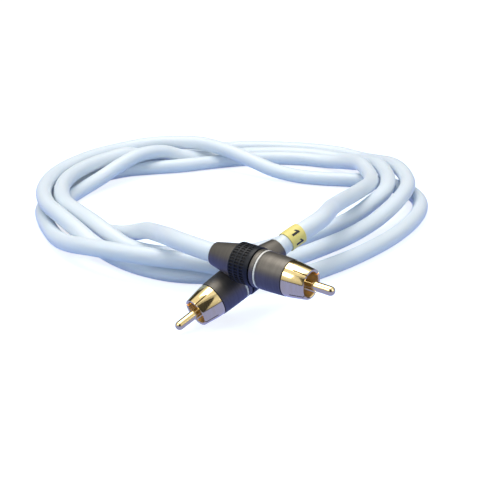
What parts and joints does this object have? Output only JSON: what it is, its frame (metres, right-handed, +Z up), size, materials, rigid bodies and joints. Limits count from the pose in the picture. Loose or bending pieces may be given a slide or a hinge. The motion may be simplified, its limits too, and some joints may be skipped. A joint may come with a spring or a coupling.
{
  "type": "subwoofer cable",
  "caption": "Pale round audio lead lying in a loose coil, with a tapered metal phono plug on each end and a yellow marker sleeve.",
  "frame": {"origin": "on the floor, in the middle of the whole object's footprint", "axes": "+Z up from the floor, +Y from the plugs across the coil to its back, +X to the right as seen from the plugs' side"},
  "size_m": [0.1781, 0.2396, 0.0309],
  "materials": {
    "jacket": "semi-matt pale blue-white PVC",
    "marker_yellow": "matt yellow plastic",
    "gunmetal": "satin gunmetal anodised metal",
    "black_grip": "matt black moulded grip",
    "ivory": "satin ivory white",
    "gold_plate": "polished gold plating on brass",
    "white_plastic": "satin white moulded plastic",
    "brass": "plain machined brass",
    "tinned_braid": "tinned copper braid",
    "foam_core": "white foamed dielectric",
    "copper": "bare copper"
  },
  "bodies": {
    "root": {"cable_jacket": "jacket", "marker_sleeve": "marker_yellow", "plug_a_rear_cap": "gunmetal", "plug_a_grip_ring": "black_grip", "plug_a_barrel": "gunmetal", "plug_a_ivory_ring": "ivory", "plug_a_ground_shell": "gold_plate", "plug_a_centre_pin": "gold_plate", "plug_a_insulator": "white_plastic", "plug_a_inner_body": "brass", "plug_a_cable_clamp": "brass", "plug_a_shield_end": "tinned_braid", "plug_a_core_insulation_end": "foam_core", "plug_a_conductor_end": "copper", "plug_b_rear_cap": "gunmetal", "plug_b_grip_ring": "black_grip", "plug_b_barrel": "gunmetal", "plug_b_ivory_ring": "ivory", "plug_b_ground_shell": "gold_plate", "plug_b_centre_pin": "gold_plate", "plug_b_insulator": "white_plastic", "plug_b_inner_body": "brass", "plug_b_cable_clamp": "brass", "plug_b_shield_end": "tinned_braid", "plug_b_core_insulation_end": "foam_core", "plug_b_conductor_end": "copper"}
  },
  "joints": []
}
